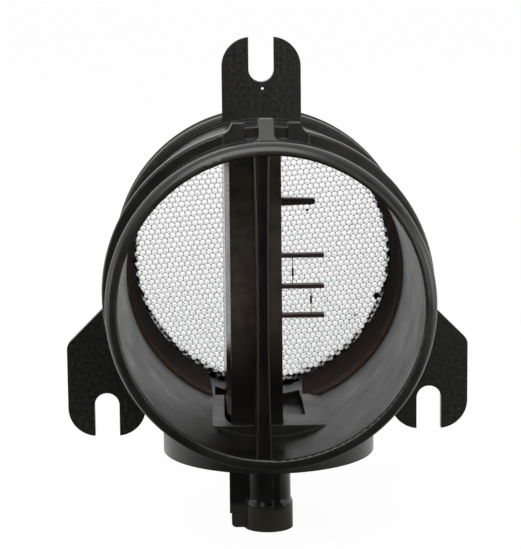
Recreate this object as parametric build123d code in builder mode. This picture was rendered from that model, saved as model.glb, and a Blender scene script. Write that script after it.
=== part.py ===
"""Mass airflow sensor for an engine air intake, in millimetres.

A round moulded duct carries a slotted clamp flange, a honeycomb flow screen and a plug-in
strut with two hot-wire elements. A round pod under the duct holds the circuit board and
ends in a round plug socket.

Frame: the origin is on the duct's axis, in the flange's mating face. +Y runs upstream into
the air box, -Y runs to the hose end, +Z is up and the pod hangs along -Z.
"""
import os
from math import cos, radians, sin, sqrt

from build123d import *

os.makedirs("parts", exist_ok=True)

# ---- Driving dimensions ------------------------------------------------------------------

# Duct tube, turned about the Y axis
bore_r = 37.5
tube_wall = 2.0
outlet_len = 81.5          # flange face to hose end
inlet_len = 14.0           # flange face to air box end
hose_seat_len = 23.0       # hose end to collar
rim_outer_round = 2.4
rim_inner_round = 0.5

# Rings on the tube: how far each stands over the wall, and its length
bead_h = 1.1
bead_len = 3.6
bead_taper = 1.4
collar_h = 2.95
collar_t = 3.2
collar_round = 0.7
register_h = 2.4
register_len = 4.0
tail_bead_h = 0.8
tail_bead_len = 2.6
flange_bead_h = 0.9
flange_bead_len = 1.5

# Guide rib in front of the strut
flow_rib_w = 3.0           # at its waist
flow_rib_end_w = 4.0
flow_rib_x = -2.1
flow_rib_setback = 0.6

# Index key and its two shoulders on top of the collar
key_x = -0.3
key_w = 3.9
key_h = 5.0                # over the tube's wall
key_slope = 4.6
key_flare = 1.5            # round at its foot
key_corner_round = 0.5
shoulder_h = 4.0
shoulder_in = 5.5
shoulder_flat = 3.0
shoulder_run = 2.3
shoulder_proud = 0.9
notch_depth = 1.3

# Clamp flange: one steel plate with three slotted ears
plate_t = 3.0
plate_grip = 1.0           # how deep its ring sits in the tube's wall
plate_ring_proud = 0.6     # how far its ring shows past the flange bead
plate_step = 0.5           # how deep its back is stepped for the register
plate_step_gap = 0.1
slot_w = 7.0
ear_half_w = 11.0
ear_corner_r = 8.2
ear_tip = 8.9              # bolt centre to ear tip
top_bolt_z = 53.7
left_bolt_x = -44.7
left_bolt_z = -40.9
right_bolt_x = 46.9
right_bolt_z = -40.1
ear_shoulder_z = -23.4     # where the outer edge of a lower ear turns to 45 degrees
ear_shoulder_round = 3.0

# Lip seal round the air box end
seal_base_t = 0.8
seal_lip_proud = 0.2       # past the register
seal_lips = 3
seal_lip_w = 1.1
seal_lip_bury = 0.2

# Flow screen, the liner that spaces it and its snap ring
screen_y = 5.3
screen_t = 6.0
screen_gap = 0.1
screen_pitch = 5.0         # each cell stands for a bundle of the real 1.65 mm ones
screen_web = 1.05
screen_edge_w = 1.0
screen_turn = -5.0
liner_t = 1.2
liner_left_gap = 0.6       # past the well's sides, at the front
liner_right_gap = 0.2
liner_flare = 1.3          # how much further each end stands off at the screen
liner_chamfer = 0.9
snap_ring_t = 1.4
snap_ring_w = 1.6

# Pod, its chamber and the pad and well at the strut's foot
pod_x = 0.3
pod_y = -32.5
pod_r = 28.3
pod_wall = 2.5
pod_depth = 5.4            # chamber roof to open end
roof_t = 1.5               # chamber roof to tube wall
pocket_wall = 5.0
pocket_web = 2.0
pad_h = 3.0                # over the lowest line of the bore
pad_front = -57.0
pad_rear = -20.5
well_floor_t = 1.8
well_rear = -7.6
well_left_w = 2.65         # past the strut's sides
well_right_w = 6.2
notch_front = -45.5

# Strut, pushed in from the pod
strut_left = -11.35
strut_right = 3.5
strut_front = -54.6
strut_rear = -13.5
strut_nose_x = 1.65        # how far the left flank draws in at the front
strut_nose_len = 10.0
strut_nose_mid = (0.3, 0.45)   # where its curve passes, as shares of both
strut_round = 1.2
strut_fit = 0.15
flange_fit = 0.5
strut_flange_t = 1.4

# Support arms, probe and elements on the strut's right side
arm_y = -32.5
arm_len = 12.0
arm_depth = 3.0
arm_t = 1.0
arm_chamfer = 0.2
arm_root = 2.5
arm_heights = (6.0, -2.3, -10.2)
probe_z = 20.5
probe_len = 9.7
probe_root_t = 2.1
probe_tip_t = 1.5
probe_tip_round = 0.45     # as a share of its thickness
element_d = 0.55
element_len = 2.1
lead_d = 0.22
heater_reach = 3.65        # out from the strut
heater_rise = 3.25         # above the arm below it
reference_reach = 8.5
reference_rise = 3.65

# Circuit board and what it carries
board_w = 34.0
board_gap = 0.36           # corners to gasket
board_t = 1.0
board_corner_r = 2.0
hybrid_w = 11.0
hybrid_l = 9.0
driver_w = 8.0
driver_l = 7.0
chip_t = 0.9
capacitor_w = 3.2
capacitor_l = 2.5
capacitor_t = 1.1
spreader_w = 13.0
spreader_l = 10.0
spreader_t = 0.8

# Pod cover, plug socket and terminals
cover_t = 1.7
cover_gap = 0.2
gasket_w = 1.6
socket_x = 0.0
neck_r = 6.15
neck_len = 14.8            # pod's open end to band
band_r = 6.7
band_len = 7.1
flare_len = 1.2
socket_bore_r = 5.0
socket_depth = 14.3
neck_flat_w = 2.8
neck_flat_depth = 0.8
neck_flat_x = 2.6
neck_flat_run = 1.2        # past the band's top
latch_reach = 10.4
latch_w = 4.6
latch_step = 0.5
latch_step_drop = 2.9      # below the band's top
latch_lift = 0.3           # above the socket's mouth
latch_round = 1.2
terminal_count = 5
terminal_circle_r = 2.7
terminal_d = 1.0
terminal_setback = 5.7     # behind the socket's mouth
terminal_turn = 90.0       # where the first one stands on their circle

# Working allowances
bury = 1.0                 # how far a joined form reaches into what carries it
overcut = 2.0              # how far a cut runs past what it cuts

# ---- Sizes that follow -------------------------------------------------------------------

tube_r = bore_r + tube_wall
bead_r = tube_r + bead_h
collar_r = tube_r + collar_h
register_r = tube_r + register_h
tail_bead_r = tube_r + tail_bead_h
flange_bead_r = tube_r + flange_bead_h
key_top = tube_r + key_h
shoulder_top = tube_r + shoulder_h
rim_y = -outlet_len
collar_y = rim_y + hose_seat_len
plate_hole_r = tube_r - plate_grip
plate_ring_r = flange_bead_r + plate_ring_proud
plate_step_r = register_r + plate_step_gap
seal_base_r = tube_r + seal_base_t
seal_lip_r = register_r + seal_lip_proud
seal_y = register_len
seal_end_y = inlet_len - tail_bead_len
chamber_r = pod_r - pod_wall
chamber_top = -tube_r - roof_t
pocket_r = pod_r - pocket_wall
pod_bottom = chamber_top - pod_depth
pad_top = pad_h - bore_r
well_floor = chamber_top + well_floor_t
well_left = strut_left - well_left_w
well_right = strut_right + well_right_w
liner_y = pad_rear
liner_left_x = well_left - liner_left_gap
liner_right_x = well_right + liner_right_gap
arm_root_x = strut_right - arm_root
arm_tip_x = strut_right + arm_len
probe_tip_x = strut_right + probe_len
gasket_outer_r = chamber_r - flange_fit
gasket_inner_r = gasket_outer_r - gasket_w
board_l = 2 * sqrt((gasket_inner_r - board_gap) ** 2 - (board_w / 2) ** 2)
flange_bottom = chamber_top - strut_flange_t
board_bottom = flange_bottom - board_t
cover_top = pod_bottom + cover_t
band_top = pod_bottom - neck_len
socket_bottom = band_top - band_len
socket_floor = socket_bottom + socket_depth
neck_flat_bottom = band_top - neck_flat_run
latch_step_z = band_top - latch_step_drop
latch_bottom = socket_bottom + latch_lift
terminal_tip = socket_bottom + terminal_setback
through = 4 * collar_r     # a length that passes right through


def save(builder, name):
    """Label a finished piece and write it to its own STEP file."""
    builder.part.label = name
    export_step(builder.part, f"parts/{name}.step")


# ---- Clamp flange ------------------------------------------------------------------------

def lower_ear(bolt_x, bolt_z):
    """Face of one lower ear, from the ring to its round-cornered tip."""
    side = 1 if bolt_x > 0 else -1
    outer_x = bolt_x + side * ear_half_w
    inner_x = bolt_x - side * ear_half_w
    tip_z = bolt_z - ear_tip
    reach = abs(outer_x) - plate_hole_r / 2
    with BuildSketch(Plane.XZ) as ear:
        with BuildLine():
            Polyline(
                (inner_x, ear_shoulder_z + ear_corner_r),
                (inner_x, tip_z),
                (outer_x, tip_z),
                (outer_x, ear_shoulder_z),
                (outer_x - side * reach, ear_shoulder_z + reach),
                close=True,
            )
        make_face()
        fillet(ear.vertices().group_by(Axis.Y)[0], ear_corner_r)
        bend = ear.vertices().sort_by_distance((outer_x, ear_shoulder_z))[0]
        fillet(bend, ear_shoulder_round)
    return ear.sketch


with BuildPart() as flange_plate:
    with BuildSketch(Plane.XZ) as plate_face:
        with Locations((0, top_bolt_z + ear_tip)):
            Rectangle(2 * ear_half_w, top_bolt_z + ear_tip, align=(Align.CENTER, Align.MAX))
        fillet(plate_face.vertices().group_by(Axis.Y)[-1], ear_corner_r)
        Circle(plate_ring_r)
        add(lower_ear(left_bolt_x, left_bolt_z))
        add(lower_ear(right_bolt_x, right_bolt_z))
        Circle(plate_hole_r, mode=Mode.SUBTRACT)
        for x, z, way in (
            (0, top_bolt_z, 1),
            (left_bolt_x, left_bolt_z, -1),
            (right_bolt_x, right_bolt_z, -1),
        ):
            with Locations((x, z)):
                Circle(slot_w / 2, mode=Mode.SUBTRACT)
            with Locations((x, z + way * ear_tip / 2)):
                Rectangle(slot_w, ear_tip, mode=Mode.SUBTRACT)
    extrude(amount=plate_t)
    # The back is stepped, so that only the ears lie on the air box
    with BuildSketch(Plane.XZ):
        Circle(plate_step_r)
    extrude(amount=plate_step, mode=Mode.SUBTRACT)
save(flange_plate, "flange_plate")

# ---- Tools that shape the housing --------------------------------------------------------

# Cored pockets beside the strut, under the tube wall
with BuildPart() as pod_pockets:
    with BuildSketch(Plane.XY.offset(chamber_top)):
        with Locations((pod_x, pod_y)):
            Circle(pocket_r)
    extrude(amount=pocket_r)
    Cylinder(tube_r, through, rotation=(90, 0, 0), mode=Mode.SUBTRACT)
    web_left = min(well_left, strut_left) - pocket_web
    web_right = max(well_right, strut_right) + pocket_web
    with Locations(((web_left + web_right) / 2, pod_y, chamber_top)):
        Box(
            web_right - web_left,
            2 * pod_r,
            2 * pod_r,
            align=(Align.CENTER, Align.CENTER, Align.MIN),
            mode=Mode.SUBTRACT,
        )

# The strut's section, seen from above
with BuildSketch(Plane.XY.offset(chamber_top)) as strut_section:
    with BuildLine():
        nose_y = strut_front + strut_nose_len
        across, along = strut_nose_mid
        Line((strut_right, strut_rear), (strut_right, strut_front))
        Line((strut_right, strut_front), (strut_left + strut_nose_x, strut_front))
        ThreePointArc(
            (strut_left + strut_nose_x, strut_front),
            (strut_left + across * strut_nose_x, strut_front + along * strut_nose_len),
            (strut_left, nose_y),
        )
        Line((strut_left, nose_y), (strut_left, strut_rear))
        Line((strut_left, strut_rear), (strut_right, strut_rear))
    make_face()

# Index key: a wedge that slopes down to the hose seat and flares out at its foot
with BuildPart() as index_key:
    with BuildSketch(Plane.YZ.offset(key_x)):
        with BuildLine():
            Polyline(
                (collar_y + collar_t, tube_r - bury),
                (collar_y + collar_t, key_top),
                (collar_y - shoulder_proud, key_top),
                (collar_y - shoulder_proud - key_slope, tube_r - bury),
                close=True,
            )
        make_face()
    extrude(amount=key_w / 2 + key_flare, both=True)
    with BuildSketch(Plane.XZ.offset(-collar_y - collar_t)):
        with BuildLine() as key_outline:
            side = key_x + key_w / 2
            Polyline(
                (key_x, key_top),
                (side - key_corner_round, key_top),
            )
            RadiusArc(
                (side - key_corner_round, key_top),
                (side, key_top - key_corner_round),
                key_corner_round,
            )
            Line((side, key_top - key_corner_round), (side, tube_r + key_flare))
            RadiusArc((side, tube_r + key_flare), (side + key_flare, tube_r), -key_flare)
            Polyline(
                (side + key_flare, tube_r),
                (side + key_flare, tube_r - bury),
                (key_x, tube_r - bury),
            )
            mirror(about=Plane.YZ.offset(key_x))
        make_face()
    extrude(amount=collar_t + shoulder_proud + key_slope, mode=Mode.INTERSECT)

# ---- Duct housing ------------------------------------------------------------------------

with BuildPart() as duct_housing:
    # Tube, bead, collar and register, turned about the duct's axis
    with BuildSketch(Plane.XY):
        with BuildLine():
            Polyline(
                (bore_r, rim_y + rim_inner_round),
                (bore_r, inlet_len),
                (tail_bead_r - tail_bead_len / 4, inlet_len),
                (tail_bead_r, inlet_len - tail_bead_len / 2),
                (tail_bead_r, seal_end_y),
                (tube_r, seal_end_y),
                (tube_r, register_len),
                (register_r, register_len),
                (register_r, 0),
                (register_r - plate_step, -plate_step),
                (flange_bead_r, -plate_step),
                (flange_bead_r, -plate_t - flange_bead_len),
                (tube_r, -plate_t - flange_bead_len),
                (tube_r, collar_y + collar_t),
                (collar_r, collar_y + collar_t),
                (collar_r, collar_y + collar_round),
            )
            RadiusArc(
                (collar_r, collar_y + collar_round),
                (collar_r - collar_round, collar_y),
                collar_round,
            )
            Polyline(
                (collar_r - collar_round, collar_y),
                (tube_r, collar_y),
                (tube_r, rim_y + bead_len + bead_taper),
                (bead_r, rim_y + bead_len),
                (bead_r, rim_y + rim_outer_round),
            )
            RadiusArc(
                (bead_r, rim_y + rim_outer_round),
                (bead_r - rim_outer_round, rim_y),
                rim_outer_round,
            )
            Line((bead_r - rim_outer_round, rim_y), (bore_r + rim_inner_round, rim_y))
            RadiusArc(
                (bore_r + rim_inner_round, rim_y),
                (bore_r, rim_y + rim_inner_round),
                rim_inner_round,
            )
        make_face()
    revolve(axis=Axis.Y)

    # Pod drum, merged into the tube's underside
    with BuildSketch(Plane.XY.offset(pod_bottom)):
        with Locations((pod_x, pod_y)):
            Circle(pod_r)
    extrude(amount=pod_r)
    Cylinder(bore_r, through, rotation=(90, 0, 0), mode=Mode.SUBTRACT)
    with BuildSketch(Plane.XY.offset(pod_bottom)):
        with Locations((pod_x, pod_y)):
            Circle(chamber_r)
    extrude(amount=chamber_top - pod_bottom, mode=Mode.SUBTRACT)
    add(pod_pockets.part, mode=Mode.SUBTRACT)

    # Collar notch, index shoulders and the sloped key between them
    with Locations((key_x, collar_y, tube_r)):
        Box(
            2 * shoulder_in,
            2 * notch_depth,
            2 * (shoulder_top - tube_r),
            align=(Align.CENTER, Align.CENTER, Align.MIN),
            mode=Mode.SUBTRACT,
        )
    with BuildSketch(Plane.XZ.offset(-collar_y - collar_t)):
        flat_end = shoulder_in + shoulder_flat
        foot = flat_end + shoulder_run
        foot_z = sqrt(collar_r**2 - (abs(key_x) + foot) ** 2)
        with BuildLine():
            Polyline(
                (key_x + foot, foot_z),
                (key_x + foot, tube_r - 2 * bury),
                (key_x + shoulder_in, tube_r - bury),
                (key_x + shoulder_in, shoulder_top),
                (key_x + flat_end, shoulder_top),
            )
            Spline(
                (key_x + flat_end, shoulder_top),
                (key_x + foot, foot_z),
                tangents=((0.5, -1), (1, -0.25)),
            )
        make_face()
        mirror(about=Plane.YZ.offset(key_x))
    extrude(amount=collar_t + shoulder_proud)
    add(index_key.part)

    # Guide rib from the hose end back to the strut, waisted between its wide roots
    with BuildSketch(Plane.XZ.offset(-strut_front + strut_fit)):
        with BuildLine():
            half_waist = flow_rib_w / 2
            half_end = flow_rib_end_w / 2
            root_z = bore_r + bury
            top_left = (flow_rib_x - half_end, root_z)
            top_right = (flow_rib_x + half_end, root_z)
            low_left = (flow_rib_x - half_end, -root_z)
            low_right = (flow_rib_x + half_end, -root_z)
            ThreePointArc(top_left, (flow_rib_x - half_waist, 0), low_left)
            Line(low_left, low_right)
            ThreePointArc(low_right, (flow_rib_x + half_waist, 0), top_right)
            Line(top_right, top_left)
        make_face()
    extrude(amount=strut_front - strut_fit - rim_y - flow_rib_setback)

    # Flat pad round the strut's foot
    with BuildSketch(Plane.XZ.offset(-pad_rear)):
        Circle(bore_r + bury)
        with Locations((0, pad_top)):
            Rectangle(
                2 * bore_r, bore_r, align=(Align.CENTER, Align.MAX), mode=Mode.INTERSECT
            )
    extrude(amount=pad_rear - pad_front)

    # Well behind the pad, and its notch along the strut's right side
    with Locations((well_left, pad_rear, well_floor)):
        Box(
            well_right - well_left,
            well_rear - pad_rear,
            bore_r / 2,
            align=Align.MIN,
            mode=Mode.SUBTRACT,
        )
    with Locations((strut_right, notch_front, well_floor)):
        Box(
            well_right - strut_right,
            pad_rear - notch_front,
            bore_r / 2,
            align=Align.MIN,
            mode=Mode.SUBTRACT,
        )

    # Hole that the strut is pushed through
    with BuildSketch(Plane.XY.offset(chamber_top)):
        add(strut_section.sketch.faces())
        offset(amount=strut_fit)
    extrude(amount=pad_top + overcut - chamber_top, mode=Mode.SUBTRACT)

    # The flange plate is moulded in
    add(flange_plate.part, mode=Mode.SUBTRACT)
save(duct_housing, "duct_housing")

# ---- Inlet seal --------------------------------------------------------------------------

with BuildPart() as inlet_seal:
    with BuildSketch(Plane.XY) as seal_profile:
        with Locations((tube_r, seal_y)):
            Rectangle(seal_base_r - tube_r, seal_end_y - seal_y, align=Align.MIN)
        pitch = (seal_end_y - seal_y) / seal_lips
        for n in range(seal_lips):
            lip_y = seal_y + (n + 0.5) * pitch
            with BuildLine():
                Polyline(
                    (seal_base_r - seal_lip_bury, lip_y - seal_lip_w),
                    (seal_lip_r, lip_y - seal_lip_w / 4),
                    (seal_lip_r, lip_y + seal_lip_w / 4),
                    (seal_base_r - seal_lip_bury, lip_y + seal_lip_w),
                    close=True,
                )
            make_face()
    revolve(axis=Axis.Y)
save(inlet_seal, "inlet_seal")

# ---- Screen liner, flow screen and snap ring ---------------------------------------------

with BuildPart() as screen_liner:
    with BuildSketch(Plane.XZ.offset(-screen_y)):
        Circle(bore_r)
        Circle(bore_r - liner_t, mode=Mode.SUBTRACT)
    extrude(amount=screen_y - liner_y)
    front = screen_liner.faces().sort_by(Axis.Y)[0]
    chamfer(front.edges().sort_by(SortBy.LENGTH)[0], liner_chamfer)
    # The gap over the well widens towards the screen
    with BuildSketch(Plane.XY):
        with BuildLine():
            Polyline(
                (liner_left_x, liner_y),
                (liner_left_x - liner_flare, screen_y),
                (liner_right_x + liner_flare, screen_y),
                (liner_right_x, liner_y),
                close=True,
            )
        make_face()
    extrude(amount=-2 * bore_r, mode=Mode.SUBTRACT)
save(screen_liner, "screen_liner")

screen_r = bore_r - screen_gap
cell_r = (screen_pitch - screen_web) / 2
cell_count = 2 * int(screen_r / screen_pitch) + 5
lattice = HexLocations(screen_pitch / 2, cell_count, cell_count)
cell_reach = screen_r - screen_edge_w - cell_r * 2 / sqrt(3)
whole_cells = [at for at in lattice.local_locations if at.position.length < cell_reach]

with BuildPart() as flow_screen:
    turn = radians(screen_turn)
    screen_face = Plane(
        origin=(0, screen_y + screen_t, 0), x_dir=(cos(turn), 0, sin(turn)), z_dir=(0, -1, 0)
    )
    with BuildSketch(screen_face):
        Circle(screen_r)
        with Locations(*whole_cells):
            RegularPolygon(cell_r, 6, major_radius=False, rotation=30, mode=Mode.SUBTRACT)
    extrude(amount=screen_t)
save(flow_screen, "flow_screen")

with BuildPart() as snap_ring:
    with BuildSketch(Plane.XZ.offset(-screen_y - screen_t - snap_ring_w)):
        Circle(bore_r)
        Circle(bore_r - snap_ring_t, mode=Mode.SUBTRACT)
    extrude(amount=snap_ring_w)
save(snap_ring, "snap_ring")

# ---- Sensor strut ------------------------------------------------------------------------

# What the strut's head keeps clear of: the wall of the bore, and the liner further back
with BuildPart() as above_bore:
    with BuildSketch(Plane.XZ.offset(-liner_y + strut_fit)):
        Circle(through)
        Circle(bore_r - strut_fit, mode=Mode.SUBTRACT)
    extrude(amount=liner_y - strut_fit - rim_y)
    with BuildSketch(Plane.XZ.offset(-screen_y)):
        Circle(through)
        Circle(bore_r - liner_t - strut_fit, mode=Mode.SUBTRACT)
    extrude(amount=screen_y - liner_y + strut_fit)
    split(bisect_by=Plane.XY, keep=Keep.TOP)

with BuildPart() as sensor_strut:
    with BuildSketch(Plane.XY.offset(chamber_top)):
        add(strut_section.sketch.faces())
    extrude(amount=bore_r - chamber_top)
    uprights = sensor_strut.edges().filter_by(Axis.Z)
    fillet(uprights.group_by(Axis.Y)[-1], strut_round)
    add(above_bore.part, mode=Mode.SUBTRACT)
    with BuildSketch(Plane.XY.offset(flange_bottom)):
        with Locations((pod_x, pod_y)):
            Circle(gasket_outer_r)
    extrude(amount=strut_flange_t)
    # Pockets that grip the arms and the probe
    for z in arm_heights:
        with Locations((arm_root_x, arm_y, z)):
            Box(
                arm_root,
                arm_depth,
                arm_t,
                align=(Align.MIN, Align.CENTER, Align.CENTER),
                mode=Mode.SUBTRACT,
            )
    with Locations((arm_root_x, arm_y, probe_z)):
        Box(
            arm_root,
            arm_depth,
            probe_root_t,
            align=(Align.MIN, Align.CENTER, Align.CENTER),
            mode=Mode.SUBTRACT,
        )
save(sensor_strut, "sensor_strut")

for number, z in enumerate(arm_heights, start=1):
    with BuildPart() as support_arm:
        with Locations((arm_root_x, arm_y, z)):
            Box(
                arm_tip_x - arm_root_x,
                arm_depth,
                arm_t,
                align=(Align.MIN, Align.CENTER, Align.CENTER),
            )
        tip_edges = support_arm.faces().sort_by(Axis.X)[-1].edges()
        chamfer(tip_edges.filter_by(Axis.Y), arm_chamfer)
    save(support_arm, f"support_arm_{number}")

with BuildPart() as temperature_probe:
    with BuildSketch(Plane.XZ.offset(-arm_y - arm_depth / 2)) as probe_face:
        with BuildLine():
            Polyline(
                (arm_root_x, probe_z - probe_root_t / 2),
                (strut_right, probe_z - probe_root_t / 2),
                (probe_tip_x, probe_z - probe_tip_t / 2),
                (probe_tip_x, probe_z + probe_tip_t / 2),
                (strut_right, probe_z + probe_root_t / 2),
                (arm_root_x, probe_z + probe_root_t / 2),
                close=True,
            )
        make_face()
        fillet(probe_face.vertices().group_by(Axis.X)[-1], probe_tip_round * probe_tip_t)
    extrude(amount=arm_depth)
save(temperature_probe, "temperature_probe")


def element(reach, rise, upper_arm, lower_arm):
    """A wound ceramic rod on its two leads, standing between two arms."""
    top = upper_arm - arm_t / 2
    bottom = lower_arm + arm_t / 2
    with BuildPart() as rod:
        with Locations((strut_right + reach, arm_y, bottom)):
            Cylinder(
                lead_d / 2, top - bottom, align=(Align.CENTER, Align.CENTER, Align.MIN)
            )
        with Locations((strut_right + reach, arm_y, bottom + rise)):
            Cylinder(element_d / 2, element_len)
    return rod


upper, middle, lower = arm_heights
save(element(heater_reach, heater_rise, upper, middle), "heater_element")
save(element(reference_reach, reference_rise, middle, lower), "reference_element")

# ---- Electronics -------------------------------------------------------------------------

with BuildPart() as circuit_board:
    with BuildSketch(Plane.XY.offset(board_bottom)):
        with Locations((pod_x, pod_y)):
            RectangleRounded(board_w, board_l, board_corner_r)
    extrude(amount=board_t)
save(circuit_board, "circuit_board")


def flat_block(dx, dy, width, length, height):
    """A component on the board's underside, placed from the pod's centre."""
    with BuildPart() as block:
        with BuildSketch(Plane.XY.offset(board_bottom - height)):
            with Locations((pod_x + dx, pod_y + dy)):
                Rectangle(width, length)
        extrude(amount=height)
    return block


save(flat_block(-board_w / 4, board_l / 4, hybrid_w, hybrid_l, chip_t), "control_chip")
save(flat_block(board_w / 4, board_l / 4, driver_w, driver_l, chip_t), "driver_chip")
save(
    flat_block(board_w / 4, -board_l / 4, spreader_w, spreader_l, spreader_t),
    "heat_spreader",
)
for number in (1, 2):
    dy = -board_l / 8 - 2 * capacitor_l * (number - 1)
    capacitor = flat_block(-board_w / 4, dy, capacitor_w, capacitor_l, capacitor_t)
    save(capacitor, f"filter_capacitor_{number}")

# ---- Pod cover with plug socket ----------------------------------------------------------

with BuildPart() as pod_cover:
    with BuildSketch(Plane.XY.offset(pod_bottom)):
        with Locations((pod_x, pod_y)):
            Circle(chamber_r - cover_gap)
    extrude(amount=cover_t)

    # Neck, flare and band of the socket, turned about its own upright axis
    with BuildSketch(Plane.XZ.offset(-pod_y)):
        with BuildLine():
            Polyline(
                (socket_x, cover_top),
                (socket_x + neck_r, cover_top),
                (socket_x + neck_r, band_top + flare_len),
                (socket_x + band_r, band_top),
                (socket_x + band_r, socket_bottom),
                (socket_x, socket_bottom),
                close=True,
            )
        make_face()
    socket_axis = Axis((socket_x, pod_y, 0), (0, 0, 1))
    revolve(axis=socket_axis)

    # Latch rail on the left side, with a step and a round lower corner
    latch_x = socket_x - latch_reach
    with BuildSketch(Plane.XZ.offset(-pod_y - latch_w / 2)) as latch_face:
        with BuildLine():
            Polyline(
                (socket_x, pod_bottom),
                (latch_x, pod_bottom),
                (latch_x, latch_step_z),
                (latch_x + latch_step, latch_step_z),
                (latch_x + latch_step, latch_bottom),
                (socket_x, latch_bottom),
                close=True,
            )
        make_face()
        corner = latch_face.vertices().group_by(Axis.Y)[0].sort_by(Axis.X)[0]
        fillet(corner, latch_round)
    extrude(amount=latch_w)

    # Flat on the front of the neck
    with BuildSketch(Plane.XZ.offset(-pod_y + neck_r - neck_flat_depth)):
        with Locations((socket_x + neck_flat_x, pod_bottom)):
            Rectangle(
                neck_flat_w,
                pod_bottom - neck_flat_bottom,
                align=(Align.CENTER, Align.MAX),
            )
    extrude(amount=band_r, mode=Mode.SUBTRACT)

    # Socket bore and the holes for the terminals
    with BuildSketch(Plane.XY.offset(socket_bottom)):
        with Locations((socket_x, pod_y)):
            Circle(socket_bore_r)
    extrude(amount=socket_floor - socket_bottom, mode=Mode.SUBTRACT)
    with BuildSketch(Plane.XY.offset(socket_floor)):
        with Locations((socket_x, pod_y)):
            with PolarLocations(terminal_circle_r, terminal_count, start_angle=terminal_turn):
                Circle(terminal_d / 2)
    extrude(amount=cover_top - socket_floor, mode=Mode.SUBTRACT)
save(pod_cover, "pod_cover")

with BuildPart() as pod_gasket:
    with BuildSketch(Plane.XY.offset(cover_top)):
        with Locations((pod_x, pod_y)):
            Circle(gasket_outer_r)
            Circle(gasket_inner_r, mode=Mode.SUBTRACT)
    extrude(amount=flange_bottom - cover_top)
save(pod_gasket, "pod_gasket")

for number in range(1, terminal_count + 1):
    angle = radians(terminal_turn + 360 * (number - 1) / terminal_count)
    x = socket_x + terminal_circle_r * cos(angle)
    y = pod_y + terminal_circle_r * sin(angle)
    with BuildPart() as terminal:
        with BuildSketch(Plane.XY.offset(terminal_tip)):
            with Locations((x, y)):
                Circle(terminal_d / 2)
        extrude(amount=board_bottom - terminal_tip)
        chamfer(terminal.edges().group_by(Axis.Z)[0], terminal_d / 4)
    save(terminal, f"terminal_{number}")
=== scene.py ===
"""Mass airflow sensor, finished for rendering on the frame of its CAD model, in metres."""
from math import cos, radians, sin, sqrt

import bmesh
import bpy
from mathutils import Matrix, Vector, noise


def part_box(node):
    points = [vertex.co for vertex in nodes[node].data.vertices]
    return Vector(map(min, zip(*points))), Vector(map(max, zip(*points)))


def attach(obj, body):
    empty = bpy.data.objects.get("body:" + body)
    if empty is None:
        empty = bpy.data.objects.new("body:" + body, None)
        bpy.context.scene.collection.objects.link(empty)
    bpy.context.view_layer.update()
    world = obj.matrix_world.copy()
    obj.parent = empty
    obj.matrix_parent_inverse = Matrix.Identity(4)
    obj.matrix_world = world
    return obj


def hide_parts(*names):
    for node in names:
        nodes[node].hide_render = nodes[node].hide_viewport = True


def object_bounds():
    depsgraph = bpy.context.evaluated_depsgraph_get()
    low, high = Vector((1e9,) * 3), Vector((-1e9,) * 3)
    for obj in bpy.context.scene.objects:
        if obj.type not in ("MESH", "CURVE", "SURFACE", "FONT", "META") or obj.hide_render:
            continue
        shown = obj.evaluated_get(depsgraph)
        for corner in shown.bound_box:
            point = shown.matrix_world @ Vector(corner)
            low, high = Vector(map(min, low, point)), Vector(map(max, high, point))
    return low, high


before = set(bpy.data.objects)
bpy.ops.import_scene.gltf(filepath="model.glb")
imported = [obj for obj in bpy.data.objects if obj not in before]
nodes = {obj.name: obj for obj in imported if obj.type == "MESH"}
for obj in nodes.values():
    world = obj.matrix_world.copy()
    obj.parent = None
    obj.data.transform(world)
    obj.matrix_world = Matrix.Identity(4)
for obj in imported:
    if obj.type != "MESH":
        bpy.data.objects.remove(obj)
cad_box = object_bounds()
MM = 0.001

# ---- Camera ------------------------------------------------------------------------------
# A long lens that looks into the hose end from slightly above and left of the duct's axis.
# The frame is 521 x 549 pixels, so the lens is given for its longer, upright side.


def placed(name, data):
    """A new object of that name in the scene."""
    made = bpy.data.objects.new(name, data)
    bpy.context.scene.collection.objects.link(made)
    return made


FRAME_HEIGHT_PX = 549
FOCAL_PX = 2000
SENSOR_MM = 36.0
camera_place = Vector((-13.95, -558.81, 85.96)) * MM
pitch_down, yaw_right, roll = radians(9.179), radians(1.361), radians(-0.576)

camera_data = bpy.data.cameras.new("studio_camera")
camera_data.sensor_width = SENSOR_MM
camera_data.lens = SENSOR_MM * FOCAL_PX / FRAME_HEIGHT_PX
camera_data.clip_start = 0.01
camera_data.clip_end = 200.0
camera = placed("studio_camera", camera_data)
bpy.context.scene.camera = camera
forward = Vector(
    (sin(yaw_right) * cos(pitch_down), cos(yaw_right) * cos(pitch_down), -sin(pitch_down))
)
level = Vector((cos(yaw_right), -sin(yaw_right), 0.0))
upright = level.cross(forward)
right = level * cos(roll) + upright * sin(roll)
up = upright * cos(roll) - level * sin(roll)
camera.matrix_world = Matrix.Translation(camera_place) @ Matrix(
    (right, up, -forward)
).transposed().to_4x4()

# ---- Studio ------------------------------------------------------------------------------
# A white sweep behind the part and a dim room before it, which is what a glossy black face
# turned to the camera shows. A broad softbox hangs overhead and small ones stand aside.


def linear(hex_colour):
    """Linear RGBA of an sRGB hex colour."""
    shares = [int(hex_colour[start : start + 2], 16) / 255 for start in (1, 3, 5)]
    lit = [s / 12.92 if s <= 0.04045 else ((s + 0.055) / 1.055) ** 2.4 for s in shares]
    return (*lit, 1.0)


def add(tree, kind, inputs=None, **settings):
    """Add a node with its settings; each input takes a value or another node's output."""
    made = tree.nodes.new(kind)
    for name, value in settings.items():
        setattr(made, name, value)
    for key, value in (inputs or {}).items():
        if isinstance(value, bpy.types.NodeSocket):
            tree.links.new(value, made.inputs[key])
        else:
            made.inputs[key].default_value = value
    return made


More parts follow.
